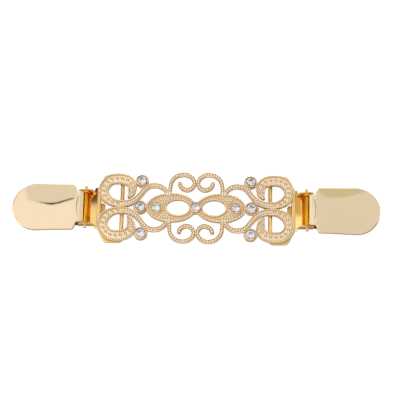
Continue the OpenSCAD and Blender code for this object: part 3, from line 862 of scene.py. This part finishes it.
# Hinge pins. A plated wire pin through both ears, with thinner rounded ends that stand proud, and
# round its middle a rolled sleeve that keeps the cheeks apart. The sleeve and the cheeks are painted
# deep orange: a painted reflection of the warm light that bounces between the gold parts of the
# hinge. A row of both tables is the distance from the middle and the radius there.
pin_x, pin_z = 45.1, 3.0
pin_rows = [(9.1, 0.12), (9.06, 0.32), (8.95, 0.48), (8.75, 0.6), (7.6, 0.6), (7.55, 0.72)]
sleeve_rows = [(5.85, 0.74), (5.82, 0.82), (5.75, 0.86)]
hinge_reflection_orange = gold_material("hinge_reflection_orange", (0.95, 0.45, 0.02), (0.88, 0.4, 0.015), (0.2, 0.3))
for side, sx in ends:
    hinge_pin = make_piece("hinge_pin_" + side, [rod(sx * pin_x, pin_z, pin_rows)], frame_gold)
    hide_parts("pin_" + side)
    sleeve = make_piece("pin_sleeve_" + side, [rod(sx * pin_x, pin_z, sleeve_rows)], hinge_reflection_orange)
    for piece in (hinge_pin, sleeve):
        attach(piece, "clip_" + side)

# Jaws. A flat brass plate under each cover, with a tail that shows in the strap loop's slot and a
# row of teeth that bite the cloth against the cover. Its colour is painted deeper and darker than
# the frame's, as painted shade, since it lies low in the slot.
jaw_gold_shaded = gold_material("jaw_gold_shaded", (0.78, 0.45, 0.12), (0.66, 0.34, 0.07), (0.18, 0.32))
jaw_thick, jaw_end, jaw_radius, teeth_x = 0.6, 66.2, 7.0, 70.2
# Half of the jaw's outline, from its tail: x, y and the corner's radius
jaw_half = [(37.3, -2.4, 1.1), (41.5, -2.4, 0.5), (42.5, -jaw_radius, 1), (jaw_end, -jaw_radius, 0)]
jaw_outline = rounded(jaw_half + [(x, -y, r) for x, y, r in jaw_half[::-1]], 7)
jaw_arc = np.linspace(-np.pi / 2, np.pi / 2, 31)[1:-1]
jaw_tip = np.column_stack([jaw_end + jaw_radius * np.cos(jaw_arc), jaw_radius * np.sin(jaw_arc)])
split = len(jaw_outline) // 2
jaw_outline = np.vstack([jaw_outline[:split], jaw_tip, jaw_outline[split:]])
tooth, tooth_pitch, root_z, point_z = np.arange(-5, 6), 0.8, 1.1, 1.9
teeth_row = np.column_stack([tooth * tooth_pitch, np.where(tooth % 2, root_z, point_z)])
teeth_outline = np.vstack([[-4, 0.1], teeth_row, [4, 0.1]])
teeth, teeth_faces = plate(teeth_outline, teeth_x, teeth_x + jaw_thick, 0.05)
jaw_shapes = (plate(jaw_outline, 0, jaw_thick), (teeth[:, [2, 0, 1, 3]], teeth_faces))
for side, sx in ends:
    shapes = [mirrored(shape, sx, 1) for shape in jaw_shapes]
    jaw = make_piece("jaw_plate_" + side, shapes, jaw_gold_shaded)
    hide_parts("jaw_" + side)
    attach(jaw, "clip_" + side)

# Covers. The lever that shuts each clip: a domed shell of polished sheet with its edge turned
# down, a neck that bends down a little towards the hinge, and two cheeks that turn on the pin.
# Its last colour is painted shade and dark reflection for the crease and the rolled edge
cover_gold = gold_material("cover_gold", (0.94, 0.755, 0.51), (0.925, 0.735, 0.485), (0.05, 0.09),
                           (0.12, 0.08, 0.04), 60, 700, 0.000001)
neck_x, neck_half, end_x, tip_radius = 45.9, 6.65, 65.25, 9.95
cover_from, edge_roll, edge_depth = 9.7, 0.35, 1.4
crown_x, crown_z, dome_from, dome_along, dome_across = 52.0, 4.9, 48.65, 125.0, 36.0
shoulder_from, shoulder_to, neck_bend, edge_shade_from = 48.3, 50.2, 47.3, 46.3
neck_slope, bend_slope = 0.045, 0.24
crease_half, crease_fade, crease_deep, crease_wide = 3.2, 1.6, 0.14, 0.22
cheek_radius, cheek_bore, cheek_edge = 1.5, 0.81, 0.06


def cover_half_width(x):
    """Half the cover's width at x: a neck with rounded corners, a smooth step at the shoulders,
    sides that widen a little, and a half circle at the tip."""
    corner = 0.6
    back = np.clip(corner - (x - neck_x), 0, corner)
    neck = neck_half - corner + np.sqrt(corner ** 2 - back ** 2)
    spread = np.clip((x - shoulder_to) / (end_x - shoulder_to), 0, 1)
    side = cover_from - neck_half + (tip_radius - cover_from) * spread
    wide = neck + side * smooth_step(x, shoulder_from, shoulder_to - shoulder_from)
    tip = np.sqrt(np.clip(tip_radius ** 2 - np.clip(x - end_x, 0, None) ** 2, 0, None))
    return np.where(x > end_x, tip, wide)


def crease_depth(x, y):
    """How deep in the crease a point lies, from 0 to 1: a bell curve across a bowed line, which
    fades out on both sides of the middle."""
    across = np.clip((x - dome_from + 0.035 * y ** 2) / crease_wide, -1, 1)
    return 0.5 * (1 + np.cos(np.pi * across)) * (1 - smooth_step(np.abs(y), crease_half, crease_fade))


def dome_height(x, y):
    """The cover's face: it falls from its crown with the square of the distance, slowly along the
    buckle and faster across it. Near the hinge it runs straight on, bends down at the neck's
    edge, and has a short curved crease pressed into it where the dome begins."""
    along = (np.maximum(x, dome_from) - crown_x) ** 2 / (2 * dome_along)
    neck = neck_slope * np.clip(dome_from - x, 0, None) + bend_slope * np.clip(neck_bend - x, 0, None)
    return crown_z - along - y ** 2 / (2 * dome_across) - neck - crease_deep * crease_depth(x, y)


def cover_shell():
    """A shell over the outline: a grid of lines along and across the cover, rounded over at the
    edge with a quarter circle; then the turned-down wall, its foot, and the same grid inside,
    one sheet thickness away. The grid's lines lie close together at edges and at the crease. The
    wall is cut back over the pin, to half a millimetre at the neck's end."""
    edge = np.array([0, 0.02, 0.06, 0.12, 0.2, 0.28, 0.35])
    x = np.concatenate([neck_x + edge, np.arange(46.4, 47.7, 0.13), np.arange(47.75, 49, 0.06),
                        np.arange(49.1, 51, 0.2), np.linspace(51.2, end_x, 22),
                        end_x + tip_radius * np.sin(np.linspace(0, np.pi / 2, 41)[1:])])[:, None]
    inset = np.concatenate([edge, [0.5, 0.8, 1.2], np.arange(1.7, 9.4, 0.55)]) / cover_from
    share = np.concatenate([inset - 1, [0], (1 - inset)[::-1]])[None]
    half = cover_half_width(x)
    slant = np.sqrt(1 + np.gradient(half[:, 0], x[:, 0]) ** 2)[:, None]
    y = half * share
    side = np.minimum(x - neck_x, (half - np.abs(y)) / slant)
    reach = np.where(x > end_x, tip_radius - np.hypot(x - end_x, y), side)
    roll_part = np.clip(edge_roll - reach, 0, None)
    fall = edge_roll - np.sqrt(np.clip(edge_roll ** 2 - roll_part ** 2, 0, None))
    # Painted shade and dark reflection: the pressed crease, and the rolled edge from just past the
    # neck's end on, take the cover's dark last colour
    sheet_shade = 0.45 * np.clip((x - edge_shade_from) / 0.5, 0, 1)
    painted_shade = np.maximum(crease_depth(x, y), sheet_shade * fall / edge_roll)
    outer = np.dstack([np.broadcast_to(x, y.shape), y, dome_height(x, y) - fall, painted_shade])
    shrink = 1 - sheet_thick / tip_radius
    along = np.where(x > end_x, shrink, 1 - sheet_thick / (end_x - neck_x))
    inner_x = np.broadcast_to(end_x + (x - end_x) * along, y.shape)
    inner_y = share * np.where(x > end_x, half * shrink, half - sheet_thick)
    inner_z = dome_height(inner_x, inner_y) - sheet_thick
    inner = np.dstack([inner_x, inner_y, inner_z, np.zeros_like(y)])
    foot = sheet_thick - edge_depth
    points, faces = grid_shell(outer, inner, [(0, foot + 0.15), (0.2, foot + 0.02), (0.65, foot),
                                              (1, foot + 0.1)])
    deepest = np.interp(points[:, 0], [neck_x + 0.3, neck_x + 1], [0.5, edge_depth])
    points[:, 2] = np.maximum(points[:, 2], dome_height(points[:, 0], points[:, 1]) - deepest)
    return points, faces


def cheek_plate(sy, steps=32):
    """A cheek: a flat ring round the pin, and an arm from it to the underside of the face."""
    y0 = sy * (neck_half - sheet_thick)
    ys = y0 + sy * np.array([0.0, cheek_edge, sheet_thick - cheek_edge, sheet_thick])
    inset = np.array([cheek_edge, 0, 0, cheek_edge])
    radius = np.concatenate([cheek_radius - inset, cheek_bore + inset])[:, None]
    y = np.concatenate([ys, ys[::-1]])[:, None]
    ring = around_y(pin_x, pin_z, radius, y, angles_round(steps)), hoop_faces(len(y), steps)
    arm = np.array([(46.15, 2.1), (46.6, 2.2), (49, 2.75), (49, 3.95), (47.2, 3.75), (46.15, 3.4)])
    arm_points = np.vstack([np.column_stack([arm[:, 0], np.full(6, y), arm[:, 1], np.zeros(6)])
                            for y in (ys[0], ys[-1])])
    return [ring, (arm_points, tube_faces(2, len(arm)))]


for side, sx in ends:
    cover = make_piece("cover_" + side + "_shell", [mirrored(cover_shell(), sx, 1)], cover_gold, 50)
    # The cheeks take the same painted deep orange reflection as the pin's sleeve
    cheek_shapes = [mirrored(shape, sx, 1) for shape in (*cheek_plate(1), *cheek_plate(-1))]
    cheeks = make_piece("cover_" + side + "_cheeks", cheek_shapes, hinge_reflection_orange, 50)
    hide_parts("cover_" + side)
    for piece in (cover, cheeks):
        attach(piece, "lever_" + side)
